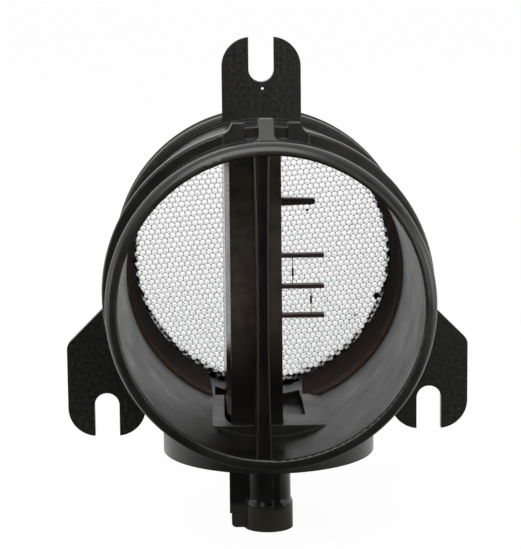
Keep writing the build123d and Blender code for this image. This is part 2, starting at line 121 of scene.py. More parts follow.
def new_material(name):
    """A material of that name, and its empty node tree."""
    made = bpy.data.materials.new(name)
    made.use_nodes = True
    made.node_tree.nodes.clear()
    return made, made.node_tree


def straight_look(tree, path):
    """1 for a ray from the camera or through glass, and 0 for any other."""
    return add(
        tree, "ShaderNodeMath",
        {0: path.outputs["Is Camera Ray"], 1: path.outputs["Is Transmission Ray"]},
        operation="MAXIMUM",
    ).outputs[0]


room_level = 0.05                    # the dim room before the part, against white
room_falloff = (0.40, 0.90, 0.44)    # how soon it turns white to the side, back and up
diffuse_level = 0.45                 # the even light that the studio sheds on matt faces

scene = bpy.context.scene
scene.view_settings.view_transform = "Standard"
world = bpy.data.worlds.new("white_studio")
scene.world = world
world.use_nodes = True
tree = world.node_tree
tree.nodes.clear()
path = add(tree, "ShaderNodeLightPath")
sight = straight_look(tree, path)
toward = add(tree, "ShaderNodeTexCoord")
apart = add(tree, "ShaderNodeSeparateXYZ", {0: toward.outputs["Generated"]})
aside = add(tree, "ShaderNodeMath", {0: apart.outputs["X"]}, operation="ABSOLUTE")
turned = add(
    tree, "ShaderNodeCombineXYZ",
    {"X": aside.outputs[0], "Y": apart.outputs["Y"], "Z": apart.outputs["Z"]},
)
away = add(
    tree, "ShaderNodeVectorMath", {0: turned.outputs[0], 1: room_falloff}, operation="DOT_PRODUCT"
)
mirrored = add(
    tree, "ShaderNodeMapRange",
    {"Value": away.outputs["Value"], "From Min": -0.1, "From Max": 0.65, "To Min": room_level,
     "To Max": 1.0},
    interpolation_type="SMOOTHSTEP",
)
strength = add(
    tree, "ShaderNodeMix",
    {"Factor": path.outputs["Is Glossy Ray"], "A": diffuse_level, "B": mirrored.outputs["Result"]},
)
strength = add(
    tree, "ShaderNodeMix", {"Factor": sight, "A": strength.outputs["Result"], "B": 1.0}
)
sky = add(
    tree, "ShaderNodeBackground",
    {"Color": linear("#ffffff"), "Strength": strength.outputs["Result"]},
)
add(tree, "ShaderNodeOutputWorld", {"Surface": sky.outputs[0]})

for name, place, size, watts in (
    ("overhead_softbox", (-0.10, -0.52, 0.53), 0.60, 5.0),
    ("front_softbox", (0.32, -0.66, -0.02), 0.35, 0.8),
    ("left_softbox", (-0.62, -0.20, 0.0), 0.25, 0.60),
    ("right_softbox", (0.58, -0.30, -0.05), 0.40, 1.8),
):
    lamp = bpy.data.lights.new(name, "AREA")
    lamp.shape = "SQUARE"
    lamp.size = size
    lamp.energy = watts
    facing_part = Vector(place).to_track_quat("Z", "Y").to_matrix().to_4x4()
    placed(name, lamp).matrix_world = Matrix.Translation(place) @ facing_part

# The floor is matt white paper. Most of its white is its own glow, and the rest takes the
# part's shadow. In a reflection it turns from dim in front of the part to white behind it,
# as the room does, and sooner to the sides.
floor_z = cad_box[0].z - 0.1 * MM
floor_half = 60.0
paper_glow, glow_share = 1.03, 0.93
turn_half = 60.0 * MM        # half the stretch over which it turns
side_pull = 0.5
floor_mesh = bpy.data.meshes.new("floor")
floor_mesh.from_pydata(
    [(x * floor_half, y * floor_half, floor_z) for x, y in ((-1, -1), (1, -1), (1, 1), (-1, 1))],
    [],
    [(0, 1, 2, 3)],
)
floor = placed("floor", floor_mesh)
paper, tree = new_material("matt_white_paper")
path = add(tree, "ShaderNodeLightPath")
sight = straight_look(tree, path)
where = add(tree, "ShaderNodeTexCoord")
apart = add(tree, "ShaderNodeSeparateXYZ", {0: where.outputs["Object"]})
aside = add(tree, "ShaderNodeMath", {0: apart.outputs["X"]}, operation="ABSOLUTE")
away = add(
    tree, "ShaderNodeMath", {0: aside.outputs[0], 1: side_pull, 2: apart.outputs["Y"]},
    operation="MULTIPLY_ADD",
)
mirrored = add(
    tree, "ShaderNodeMapRange",
    {"Value": away.outputs[0], "From Min": -turn_half, "From Max": turn_half,
     "To Min": room_level, "To Max": 1.0},
    interpolation_type="SMOOTHSTEP",
)
matt = add(tree, "ShaderNodeBsdfDiffuse", {"Color": linear("#f4f4f2")})
glow = add(tree, "ShaderNodeEmission", {"Color": linear("#ffffff"), "Strength": paper_glow})
sheen = add(
    tree, "ShaderNodeEmission", {"Color": linear("#ffffff"), "Strength": mirrored.outputs["Result"]}
)
share = add(tree, "ShaderNodeMath", {0: sight, 1: glow_share}, operation="MULTIPLY")
mixed = add(
    tree, "ShaderNodeMixShader", {0: share.outputs[0], 1: matt.outputs[0], 2: glow.outputs[0]}
)
mixed = add(
    tree, "ShaderNodeMixShader",
    {0: path.outputs["Is Glossy Ray"], 1: mixed.outputs[0], 2: sheen.outputs[0]},
)
add(tree, "ShaderNodeOutputMaterial", {"Surface": mixed.outputs[0]})
floor_mesh.materials.append(paper)

# ---- Duct housing ------------------------------------------------------------------------
# Injection-moulded glass-filled nylon, black with a faint olive cast. The mould's spark-
# eroded skin gives it a fine grain and a satin sheen, and every edge catches a thin light.


def place_of(tree, scale_mm):
    """Object coordinates counted in steps of that many millimetres."""
    where = add(tree, "ShaderNodeTexCoord")
    step = 1.0 / (scale_mm * MM)
    return add(
        tree, "ShaderNodeMapping", {"Vector": where.outputs["Object"], "Scale": (step, step, step)}
    ).outputs[0]


def cloudy(tree, scale_mm, dark, light, detail=4.0):
    """Noise of that size in millimetres, and the colour that it drifts through."""
    cloud = add(
        tree, "ShaderNodeTexNoise",
        {"Vector": place_of(tree, scale_mm), "Scale": 1.0, "Detail": detail, "Roughness": 0.6},
    )
    tint = add(tree, "ShaderNodeValToRGB", {"Fac": cloud.outputs["Fac"]})
    low, high = tint.color_ramp.elements
    low.position, high.position = 0.35, 0.65
    low.color, high.color = linear(dark), linear(light)
    return cloud.outputs["Fac"], tint.outputs[0]


def moulded(name, dark, light, cloud_mm, roughness, grain_mm, grain_depth, edge_mm, ior=1.53):
    """A moulded or coated skin: cloudy colour, softly rounded edges, and a grain that is
    drawn coarser than the real one, so that it shows."""
    made, tree = new_material(name)
    cloud, colour = cloudy(tree, cloud_mm, dark, light)
    glossiest, dullest = roughness - 0.05, roughness + 0.06
    gloss = add(
        tree, "ShaderNodeMapRange",
        {"Value": cloud, "From Min": 0.3, "From Max": 0.7, "To Min": glossiest, "To Max": dullest},
    )
    grain = add(
        tree, "ShaderNodeTexNoise",
        {"Vector": place_of(tree, grain_mm), "Scale": 1.0, "Detail": 2.0, "Roughness": 0.5},
    )
    soft = add(tree, "ShaderNodeBevel", {"Radius": edge_mm * MM}, samples=4)
    relief = add(
        tree, "ShaderNodeBump",
        {"Height": grain.outputs["Fac"], "Distance": grain_depth * MM, "Strength": 0.6,
         "Normal": soft.outputs[0]},
    )
    skin = add(
        tree, "ShaderNodeBsdfPrincipled",
        {"Base Color": colour, "Roughness": gloss.outputs["Result"], "IOR": ior,
         "Normal": relief.outputs[0]},
    )
    add(tree, "ShaderNodeOutputMaterial", {"Surface": skin.outputs[0]})
    return made


def dress(material, *names):
    """Give CAD nodes their finished material."""
    for name in names:
        nodes[name].data.materials.clear()
        nodes[name].data.materials.append(material)


housing_nylon = moulded(
    "spark_grained_black_nylon", "#0d0d09", "#18170f", cloud_mm=9.0, roughness=0.32,
    grain_mm=0.45, grain_depth=0.010, edge_mm=0.30,
)
dress(housing_nylon, "duct_housing")

# The guide rib's front is sunk a little between two rounded lips, which follow its waist
rib_x, rib_waist, rib_end = -2.1 * MM, 1.5 * MM, 2.0 * MM
rib_front = cad_box[0].y + 0.6 * MM
bore_r = 37.5 * MM
lip_r = 0.26 * MM
lip_points = 13


def rib_step(n):
    """How far the lips stand from the rib's middle at its n-th step, and at what height."""
    share = 2 * n / (lip_points - 1) - 1
    aside = rib_waist + (rib_end - rib_waist) * share**2 - lip_r
    return aside, share * (bore_r - 0.1 * MM)


def plain_mesh(piece):
    """The mesh that a drawn curve or a piece with a modifier comes out as."""
    bpy.context.view_layer.update()
    graph = bpy.context.evaluated_depsgraph_get()
    return bpy.data.meshes.new_from_object(piece.evaluated_get(graph), depsgraph=graph)


lips = bpy.data.curves.new("rib_lips", "CURVE")
lips.dimensions = "3D"
lips.bevel_depth = lip_r
lips.bevel_resolution = 2
lips.use_fill_caps = True
for side in (-1, 1):
    line = lips.splines.new("NURBS")
    line.points.add(lip_points - 1)
    for n, point in enumerate(line.points):
        aside, z = rib_step(n)
        point.co = (rib_x + side * aside, rib_front, z, 1.0)
    line.order_u = 3
    line.use_endpoint_u = True
drawn = placed("rib_lips", lips)
lip_mesh = plain_mesh(drawn)
bpy.data.objects.remove(drawn)
lip_mesh.materials.clear()
lip_mesh.materials.append(housing_nylon)
rib_lips = placed("rib_lips", lip_mesh)
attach(rib_lips, "root")

# Between the lips the front is hollowed and polished in the mould, so that it shows as a
# deep black strip. The hollow's outline is in half widths and millimetres proud of the rib.
channel_nylon = moulded(
    "polished_channel_nylon", "#050303", "#090605", cloud_mm=5.0, roughness=0.20,
    grain_mm=0.6, grain_depth=0.003, edge_mm=0.10,
)
hollow = ((-1, 0.18), (0, 0.04), (1, 0.18), (1, -0.10), (-1, -0.10))
strip = bmesh.new()
rungs = []
for n in range(lip_points):
    aside, z = rib_step(n)
    rungs.append(
        [
            strip.verts.new((rib_x + side * aside, rib_front - proud * MM, z))
            for side, proud in hollow
        ]
    )
for lower, higher in zip(rungs, rungs[1:]):
    for n in range(len(hollow)):
        strip.faces.new((lower[n - 1], lower[n], higher[n], higher[n - 1]))
strip.faces.new(rungs[0])
strip.faces.new(rungs[-1])
bmesh.ops.recalc_face_normals(strip, faces=strip.faces)
channel_mesh = bpy.data.meshes.new("rib_channel")
strip.to_mesh(channel_mesh)
strip.free()
channel_mesh.shade_smooth()
channel_mesh.set_sharp_from_angle(angle=radians(40))
channel_mesh.materials.append(channel_nylon)
rib_channel = placed("rib_channel", channel_mesh)
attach(rib_channel, "root")

# ---- Clamp flange ------------------------------------------------------------------------
# One stamped steel plate, electro-coated black. The coat is smooth with a slight orange
# peel, mottled where it has been handled, and its sheared edges catch a thin light.

coated_steel = moulded(
    "mottled_black_electrocoat", "#070704", "#1a1912", cloud_mm=1.0, roughness=0.32,
    grain_mm=0.5, grain_depth=0.014, edge_mm=0.30,
)
dress(coated_steel, "flange_plate")


def laid_over(material, share, colour):
    """Lay a colour over a skin's own one, as far as the given node output says."""
    tree = material.node_tree
    skin = next(node for node in tree.nodes if node.type == "BSDF_PRINCIPLED")
    own = skin.inputs["Base Color"].links[0].from_socket
    mixed = add(tree, "ShaderNodeMix", {0: share, 6: own, 7: linear(colour)}, data_type="RGBA")
    tree.links.new(mixed.outputs[2], skin.inputs["Base Color"])


# Painted highlight: a small near-white spot below the top slot stands for the light that a tiny
# dent catches
glint_spot = (0.3 * MM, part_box("flange_plate")[0].y, 48.4 * MM)
glint_r, glint_edge = 0.28 * MM, 0.12 * MM
tree = coated_steel.node_tree
where = add(tree, "ShaderNodeTexCoord")
off = add(
    tree, "ShaderNodeVectorMath", {0: where.outputs["Object"], 1: glint_spot}, operation="DISTANCE"
)
painted_glint = add(
    tree, "ShaderNodeMapRange",
    {"Value": off.outputs["Value"], "From Min": glint_r, "From Max": glint_r + glint_edge,
     "To Min": 1.0, "To Max": 0.0},
)
laid_over(coated_steel, painted_glint.outputs["Result"], "#f2f2f0")

# ---- Inlet seal and gasket ---------------------------------------------------------------
# Black moulded rubber: a ring with lips round the inlet, and a flat gasket under the pod's
# cover. It is matt and slightly dusty, so its black is never deep.

seal_rubber = moulded(
    "matt_black_rubber", "#121212", "#20201e", cloud_mm=4.0, roughness=0.68, grain_mm=0.8,
    grain_depth=0.05, edge_mm=0.20,
)
dress(seal_rubber, "inlet_seal", "pod_gasket")

# ---- Screen liner ------------------------------------------------------------------------
# A plain C-shaped sleeve that spaces the screen from the pad. It is moulded in a matt
# brown-black nylon, so it stays dull beside the polished bore.

liner_nylon = moulded(
    "matt_brown_black_nylon", "#54443a", "#695648", cloud_mm=7.0, roughness=0.70,
    grain_mm=0.6, grain_depth=0.05, edge_mm=0.15, ior=1.4,
)
dress(liner_nylon, "screen_liner")

# ---- Flow screen -------------------------------------------------------------------------
# Bright aluminium honeycomb, expanded from bonded foil: 1.65 mm cells, 6 mm deep, cut to a
# disc. The cells are a little uneven and rounder than true hexagons, so dark lands show
# where three meet, and the cut ones at the rim are crushed and stained with adhesive.

cell_pitch = 1.65 * MM
foil_t = 0.04 * MM
lattice_turn = radians(-5.0)
unevenness = 0.55 * MM
squareness = 0.35            # 0 for a round mouth, 1 for a true hexagon
screen_low, screen_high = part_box("flow_screen")
screen_r = (screen_high.x - screen_low.x) / 2
screen_depth = screen_high.y - screen_low.y

# Rolled foil is bright. Its dents, grey flecks of painted shade that stand for the small dark marks
# among the cells, and the brown stain that the adhesive leaves in blots near the rim break the
# shine.
dent_mm, shade_fleck_mm, blot_mm = 0.55, 0.65, 1.4
stain_width, stain_edge = 3.0 * MM, 0.4 * MM
foil, tree = new_material("bright_aluminium_foil")
dents, tone = cloudy(tree, dent_mm, "#ebecee", "#ffffff", detail=2.0)
where = add(tree, "ShaderNodeTexCoord")
across = add(
    tree, "ShaderNodeVectorMath", {0: where.outputs["Object"], 1: (1.0, 0.0, 1.0)},
    operation="MULTIPLY",
)
reach = add(tree, "ShaderNodeVectorMath", {0: across.outputs[0]}, operation="LENGTH")
near_rim = add(
    tree, "ShaderNodeMapRange",
    {"Value": reach.outputs["Value"], "From Min": screen_r - stain_width,
     "From Max": screen_r - stain_edge, "To Min": 0.0, "To Max": 0.49},
)
blots = add(
    tree, "ShaderNodeTexNoise",
    {"Vector": place_of(tree, blot_mm), "Scale": 1.0, "Detail": 2.0, "Roughness": 0.6},
)
stain = add(tree, "ShaderNodeMath", {0: near_rim.outputs["Result"], 1: blots.outputs["Fac"]})
stain = add(
    tree, "ShaderNodeMapRange", {"Value": stain.outputs[0], "From Min": 0.72, "From Max": 0.90}
)
# Painted shade: random grey flecks on the foil stand in for the small shadows among the cells
shade_fleck_noise = add(
    tree, "ShaderNodeTexNoise",
    {"Vector": place_of(tree, shade_fleck_mm), "Scale": 1.0, "Detail": 1.0, "Roughness": 0.5},
)
shade_fleck = add(
    tree, "ShaderNodeMapRange",
    {"Value": shade_fleck_noise.outputs["Fac"], "From Min": 0.57, "From Max": 0.65, "To Max": 0.9},
)
shade_flecked = add(
    tree, "ShaderNodeMix", {0: shade_fleck.outputs["Result"], 6: tone, 7: linear("#55565a")},
    data_type="RGBA",
)
stained = add(
    tree, "ShaderNodeMix",
    {0: stain.outputs["Result"], 6: shade_flecked.outputs[2], 7: linear("#1c1814")},
    data_type="RGBA",
)
relief = add(tree, "ShaderNodeBump", {"Height": dents, "Distance": 0.06 * MM, "Strength": 0.6})
metal = add(
    tree, "ShaderNodeBsdfPrincipled",
    {"Base Color": stained.outputs[2], "Metallic": 0.90, "Roughness": 0.26,
     "Normal": relief.outputs[0]},
)
add(tree, "ShaderNodeOutputMaterial", {"Surface": metal.outputs[0]})

comb = bpy.data.node_groups.new("foil_honeycomb", "GeometryNodeTree")
comb.interface.new_socket("Geometry", in_out="OUTPUT", socket_type="NodeSocketGeometry")
comb_sizes = {
    "Radius": screen_r, "Pitch": cell_pitch, "Foil": foil_t, "Depth": screen_depth,
    "Turn": lattice_turn, "Uneven": unevenness, "Squareness": squareness,
}
for name in comb_sizes:
    comb.interface.new_socket(name, in_out="INPUT", socket_type="NodeSocketFloat")
given = add(comb, "NodeGroupInput").outputs

# A point's place and its distance from the disc's axis, which each step below reads anew
in_plane = (1.0, 1.0, 0.0)
here = add(comb, "GeometryNodeInputPosition").outputs[0]
apart = add(comb, "ShaderNodeSeparateXYZ", {0: here}).outputs
flat = add(comb, "ShaderNodeVectorMath", {0: here, 1: in_plane}, operation="MULTIPLY")
reach = add(comb, "ShaderNodeVectorMath", {0: flat.outputs[0]}, operation="LENGTH")
reach = reach.outputs["Value"]

# Lattice of cell centres, every second row shifted by half a cell
row_share = sqrt(3) / 2
spare_cells = 5
columns = 2 * int(screen_r / cell_pitch) + spare_cells
rows = 2 * int(screen_r / (cell_pitch * row_share)) + spare_cells
row_step = add(comb, "ShaderNodeMath", {0: given["Pitch"], 1: row_share}, operation="MULTIPLY")
width = add(comb, "ShaderNodeMath", {0: given["Pitch"], 1: columns - 1.0}, operation="MULTIPLY")
height = add(
    comb, "ShaderNodeMath", {0: row_step.outputs[0], 1: rows - 1.0}, operation="MULTIPLY"
)
grid = add(
    comb, "GeometryNodeMeshGrid",
    {"Size X": width.outputs[0], "Size Y": height.outputs[0], "Vertices X": columns,
     "Vertices Y": rows},
)
row = add(comb, "ShaderNodeMath", {0: apart["Y"], 1: row_step.outputs[0]}, operation="DIVIDE")
row = add(comb, "ShaderNodeMath", {0: row.outputs[0]}, operation="ROUND")
odd = add(comb, "ShaderNodeMath", {0: row.outputs[0], 1: 1.0}, operation="PINGPONG")
half = add(comb, "ShaderNodeMath", {0: odd.outputs[0], 1: 0.5}, operation="MULTIPLY")
shift = add(comb, "ShaderNodeMath", {0: half.outputs[0], 1: given["Pitch"]}, operation="MULTIPLY")
shift = add(comb, "ShaderNodeCombineXYZ", {"X": shift.outputs[0]})
lattice = add(
    comb, "GeometryNodeSetPosition", {"Geometry": grid.outputs["Mesh"], "Offset": shift.outputs[0]}
)
outside = add(
    comb, "FunctionNodeCompare", {0: reach, 1: given["Radius"]}, operation="GREATER_THAN"
)
inside = add(
    comb, "GeometryNodeDeleteGeometry",
    {"Geometry": lattice.outputs[0], "Selection": outside.outputs[0]},
)

# One cell: a hexagonal outline round a round mouth, half a wall, and its mirror image. The
# outline has a point at each corner and at the middle of each side.
corner_r = add(comb, "ShaderNodeMath", {0: given["Pitch"], 1: 1 / sqrt(3)}, operation="MULTIPLY")
ring = add(
    comb, "GeometryNodeMeshCircle", {"Vertices": 12, "Radius": corner_r.outputs[0]},
    fill_type="NGON",
)
count = add(comb, "GeometryNodeInputIndex")
between = add(comb, "ShaderNodeMath", {0: count.outputs[0], 1: 2.0}, operation="MODULO")
inward = add(
    comb, "ShaderNodeMapRange", {"Value": between.outputs[0], "To Min": 1.0, "To Max": row_share}
)
hexagon = add(
    comb, "ShaderNodeVectorMath", {0: here, "Scale": inward.outputs["Result"]}, operation="SCALE"
)
outline = add(
    comb, "GeometryNodeSetPosition", {"Geometry": ring.outputs[0], "Position": hexagon.outputs[0]}
)
land = add(comb, "GeometryNodeExtrudeMesh", {"Mesh": outline.outputs[0], "Offset Scale": 0.0})
clear = add(comb, "ShaderNodeMath", {0: given["Pitch"], 1: given["Foil"]}, operation="SUBTRACT")
mouth_r = add(comb, "ShaderNodeMath", {0: clear.outputs[0], 1: 0.5}, operation="MULTIPLY")
outward = add(comb, "ShaderNodeVectorMath", {0: here}, operation="NORMALIZE")
circle = add(
    comb, "ShaderNodeVectorMath", {0: outward.outputs[0], "Scale": mouth_r.outputs[0]},
    operation="SCALE",
)
shrunk = add(comb, "ShaderNodeMath", {0: clear.outputs[0], 1: given["Pitch"]}, operation="DIVIDE")
straight = add(
    comb, "ShaderNodeVectorMath", {0: here, "Scale": shrunk.outputs[0]}, operation="SCALE"
)
rounded = add(
    comb, "ShaderNodeMix",
    {0: given["Squareness"], 4: circle.outputs[0], 5: straight.outputs[0]}, data_type="VECTOR",
)
mouth = add(
    comb, "GeometryNodeSetPosition",
    {"Geometry": land.outputs["Mesh"], "Selection": land.outputs["Top"],
     "Position": rounded.outputs[1]},
)
half_deep_z = add(comb, "ShaderNodeMath", {0: given["Depth"], 1: -0.5}, operation="MULTIPLY")
half_deep = add(comb, "ShaderNodeCombineXYZ", {"Z": half_deep_z.outputs[0]})
walls = add(
    comb, "GeometryNodeExtrudeMesh",
    {"Mesh": mouth.outputs[0], "Selection": land.outputs["Top"], "Offset": half_deep.outputs[0]},
)
front = add(
    comb, "GeometryNodeDeleteGeometry",
    {"Geometry": walls.outputs["Mesh"], "Selection": walls.outputs["Top"]}, domain="FACE",
)
deep = add(comb, "ShaderNodeMath", {0: given["Depth"], 1: -1.0}, operation="MULTIPLY")
deep = add(comb, "ShaderNodeCombineXYZ", {"Z": deep.outputs[0]})
back = add(
    comb, "GeometryNodeTransform",
    {"Geometry": front.outputs[0], "Translation": deep.outputs[0], "Scale": (1.0, 1.0, -1.0)},
)
back = add(comb, "GeometryNodeFlipFaces", {"Mesh": back.outputs[0]})
cell = add(comb, "GeometryNodeJoinGeometry", {0: front.outputs[0]})
comb.links.new(back.outputs[0], cell.inputs[0])
cells = add(
    comb, "GeometryNodeInstanceOnPoints",
    {"Points": inside.outputs[0], "Instance": cell.outputs[0], "Rotation": (0, 0, radians(30))},
)
cells = add(comb, "GeometryNodeRealizeInstances", {0: cells.outputs[0]})
weld = 0.01 * MM
joined = add(
    comb, "GeometryNodeMergeByDistance", {"Geometry": cells.outputs[0], "Distance": weld}
)

# A skin from front to back closes the edge of the disc
sides = add(comb, "GeometryNodeInputMeshEdgeNeighbors")
is_open = add(
    comb, "FunctionNodeCompare", {2: sides.outputs[0], 3: 1}, data_type="INT", operation="EQUAL"
)
in_front = add(
    comb, "FunctionNodeCompare", {0: apart["Z"], 1: half_deep_z.outputs[0]},
    operation="GREATER_THAN",
)
edge = add(comb, "FunctionNodeBooleanMath", {0: is_open.outputs[0], 1: in_front.outputs[0]})
skin = add(
    comb, "GeometryNodeExtrudeMesh",
    {"Mesh": joined.outputs[0], "Selection": edge.outputs[0], "Offset": deep.outputs[0]},
    mode="EDGES",
)
joined = add(
    comb, "GeometryNodeMergeByDistance", {"Geometry": skin.outputs["Mesh"], "Distance": weld}
)

# The foil wavers, more so towards the rim, where the cut cells are pressed into the disc
waver_length, waver_seed = 1.3 * MM, 7.0
crush_start, crush_times = 0.93, 3.0
crushed = add(comb, "ShaderNodeMath", {0: reach, 1: given["Radius"]}, operation="DIVIDE")
crushed = add(
    comb, "ShaderNodeMapRange",
    {"Value": crushed.outputs[0], "From Min": crush_start, "From Max": 1.0, "To Min": 1.0,
     "To Max": crush_times},
)
amount = add(
    comb, "ShaderNodeMath", {0: crushed.outputs["Result"], 1: given["Uneven"]},
    operation="MULTIPLY",
)
wave = add(
    comb, "ShaderNodeTexNoise", {"W": waver_seed, "Scale": 1 / waver_length, "Detail": 1.0},
    noise_dimensions="4D",
)
wave = add(
    comb, "ShaderNodeVectorMath", {0: wave.outputs["Color"], 1: (0.5, 0.5, 0.5)},
    operation="SUBTRACT",
)
wave = add(
    comb, "ShaderNodeVectorMath", {0: wave.outputs[0], "Scale": amount.outputs[0]},
    operation="SCALE",
)
wave = add(comb, "ShaderNodeVectorMath", {0: wave.outputs[0], 1: in_plane}, operation="MULTIPLY")
uneven = add(
    comb, "GeometryNodeSetPosition", {"Geometry": joined.outputs[0], "Offset": wave.outputs[0]}
)
limit = add(comb, "ShaderNodeMath", {0: given["Radius"], 1: reach}, operation="DIVIDE")
limit = add(comb, "ShaderNodeMath", {0: limit.outputs[0], 1: 1.0}, operation="MINIMUM")
limit = add(
    comb, "ShaderNodeCombineXYZ", {"X": limit.outputs[0], "Y": limit.outputs[0], "Z": 1.0}
)
pressed = add(comb, "ShaderNodeVectorMath", {0: here, 1: limit.outputs[0]}, operation="MULTIPLY")
disc = add(
    comb, "GeometryNodeSetPosition", {"Geometry": uneven.outputs[0], "Position": pressed.outputs[0]}
)
turned = add(comb, "ShaderNodeCombineXYZ", {"X": radians(90), "Y": given["Turn"]})
stood = add(
    comb, "GeometryNodeTransform", {"Geometry": disc.outputs[0], "Rotation": turned.outputs[0]}
)
stood = add(
    comb, "GeometryNodeTransform",
    {"Geometry": stood.outputs[0], "Translation": (0, screen_low.y, 0)},
)
finished = add(comb, "GeometryNodeSetMaterial", {"Geometry": stood.outputs[0], "Material": foil})
add(comb, "NodeGroupOutput", {"Geometry": finished.outputs[0]})


def grown(name, tree, sizes):
    """A plain mesh object made by a Geometry Nodes tree with those sizes for its inputs."""
    piece = placed(name, bpy.data.meshes.new(f"{name}_seed"))
    maker = piece.modifiers.new(tree.name, "NODES")
    maker.node_group = tree
    for socket in tree.interface.items_tree:
        if socket.in_out == "INPUT":
            maker[socket.identifier] = sizes[socket.name]
    mesh = plain_mesh(piece)
    piece.modifiers.remove(maker)
    piece.data = mesh
    return piece


screen = grown("screen_honeycomb", comb, comb_sizes)
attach(screen, "root")
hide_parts("flow_screen")

# Crumbs of adhesive that sit on the foil's front, one at the rim and two loose ones. Cured
# in the air, it is dark, half matt and lumpy. Places and sizes are in millimetres.
crumb_tar, tree = new_material("dark_adhesive_crumb")
_, colour = cloudy(tree, 0.4, "#0b0a09", "#2a231c", detail=3.0)
tar = add(tree, "ShaderNodeBsdfPrincipled", {"Base Color": colour, "Roughness": 0.5})
add(tree, "ShaderNodeOutputMaterial", {"Surface": tar.outputs[0]})
crumb_size, crumb_thick = 0.6, 0.35
lumpiness, lump_pitch = 0.5, 1.7
for number, (x, z, wide, high) in enumerate(
    ((32.6, -11.8, 1.3, 1.5), (26.5, -17.4, 0.55, 0.5), (12.9, 13.2, 0.75, 0.6)), start=1
):
    spot = Vector((x * MM, screen_low.y, z * MM))
    seed = Vector((number * 5.0, 0.0, 0.0))
    lump = bmesh.new()
    bmesh.ops.create_icosphere(lump, subdivisions=3, radius=1.0)
    for vertex in lump.verts:
        bump = 1.0 + lumpiness * noise.noise(vertex.co * lump_pitch + seed)
        ball = vertex.co.copy()
        flattened = Vector((ball.x * wide, ball.y * crumb_thick, ball.z * high))
        vertex.co = flattened * bump * crumb_size * MM + spot
    crumb_mesh = bpy.data.meshes.new(f"adhesive_crumb_{number}")
    lump.to_mesh(crumb_mesh)
    lump.free()
    crumb_mesh.shade_smooth()
    crumb_mesh.materials.append(crumb_tar)
    crumb = placed(f"adhesive_crumb_{number}", crumb_mesh)
    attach(crumb, "root")

# ---- Snap ring ---------------------------------------------------------------------------
# A ring of spring steel, drawn as wire and coiled, that snaps into the tube and holds the
# screen from behind. It is bright, with the fine lines of drawing running round it.


def bare_metal(name, dark, light, roughness, mark_mm, crowding):
    """Bare metal with marks that lie closer together along each axis by its factor."""
    made, tree = new_material(name)
    along = add(tree, "ShaderNodeMapping", {"Vector": place_of(tree, mark_mm), "Scale": crowding})
    marks = add(
        tree, "ShaderNodeTexNoise", {"Vector": along.outputs[0], "Scale": 1.0, "Detail": 3.0}
    )
    tint = add(tree, "ShaderNodeValToRGB", {"Fac": marks.outputs["Fac"]})
    low, high = tint.color_ramp.elements
    low.position, high.position = 0.3, 0.7
    low.color, high.color = linear(dark), linear(light)
    relief = add(
        tree, "ShaderNodeBump",
        {"Height": marks.outputs["Fac"], "Distance": 0.01 * MM, "Strength": 0.5},
    )
    metal = add(
        tree, "ShaderNodeBsdfPrincipled",
        {"Base Color": tint.outputs[0], "Metallic": 1.0, "Roughness": roughness,
         "Normal": relief.outputs[0]},
    )
    add(tree, "ShaderNodeOutputMaterial", {"Surface": metal.outputs[0]})
    return made


ring_steel = bare_metal(
    "drawn_spring_steel", "#8d8d8b", "#c2c2c0", roughness=0.32, mark_mm=0.5,
    crowding=(1.0, 8.0, 1.0),
)
dress(ring_steel, "snap_ring")

# ---- Sensor strut ------------------------------------------------------------------------
# The plug-in carrier, moulded in a smooth brown-black nylon and pushed up through the pad.
# Its left flank is planed off towards the nose, and that flat mirrors the bright screen.

nose_curve = 10.0 * MM       # how far back the solid's rounded nose reaches
flat_len = 14.0 * MM         # how far back the flat would meet the flank
nose_in = 1.65 * MM          # how far the flat leans in at the nose's tip
fit = 0.01 * MM
planed = bmesh.new()
planed.from_mesh(nodes["sensor_strut"].data)
bmesh.ops.remove_doubles(planed, verts=planed.verts, dist=0.001 * MM)
blade = [v.co for v in planed.verts if v.co.z > 0]
nose_y = min(co.y for co in blade)
flank_x = min(co.x for co in blade)
for vertex in planed.verts:
    behind = vertex.co.y - nose_y
    on_curve = -fit <= behind <= nose_curve + fit
    if on_curve and flank_x - fit <= vertex.co.x <= flank_x + nose_in + fit:
        vertex.co.x = flank_x + nose_in * (1 - behind / flat_len)
strut_mesh = bpy.data.meshes.new("planed_strut")
planed.to_mesh(strut_mesh)
planed.free()
strut_mesh.shade_smooth()
strut_mesh.set_sharp_from_angle(angle=radians(8))
strut_nylon = moulded(
    "smooth_brown_black_nylon", "#302925", "#474034", cloud_mm=6.0, roughness=0.12,
    grain_mm=0.6, grain_depth=0.002, edge_mm=0.12,
)


def tinted(material, colour, clear_z, full_z, amount):
    """Blend a skin's colour towards another one between two heights."""
    tree = material.node_tree
    where = add(tree, "ShaderNodeTexCoord")
    apart = add(tree, "ShaderNodeSeparateXYZ", {0: where.outputs["Object"]})
    share = add(
        tree, "ShaderNodeMapRange",
        {"Value": apart.outputs["Z"], "From Min": full_z, "From Max": clear_z, "To Min": amount,
         "To Max": 0.0},
        interpolation_type="SMOOTHSTEP",
    )
    laid_over(material, share.outputs["Result"], colour)


# Painted shade: the strut's colour darkens towards its foot, where little light reaches it
tinted(strut_nylon, "#060404", clear_z=2.0 * MM, full_z=-27.0 * MM, amount=0.95)
strut_mesh.materials.append(strut_nylon)
strut = placed("planed_strut", strut_mesh)
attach(strut, "root")
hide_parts("sensor_strut")

# ---- Support arms and temperature probe --------------------------------------------------
# Three flat strips of metal, stamped and lacquered, which carry the wound elements, and the
# probe above them, a thermistor dipped in dark resin. The lacquer has a satin sheen and a
# brown cast. The resin is glossier and a little lumpy.

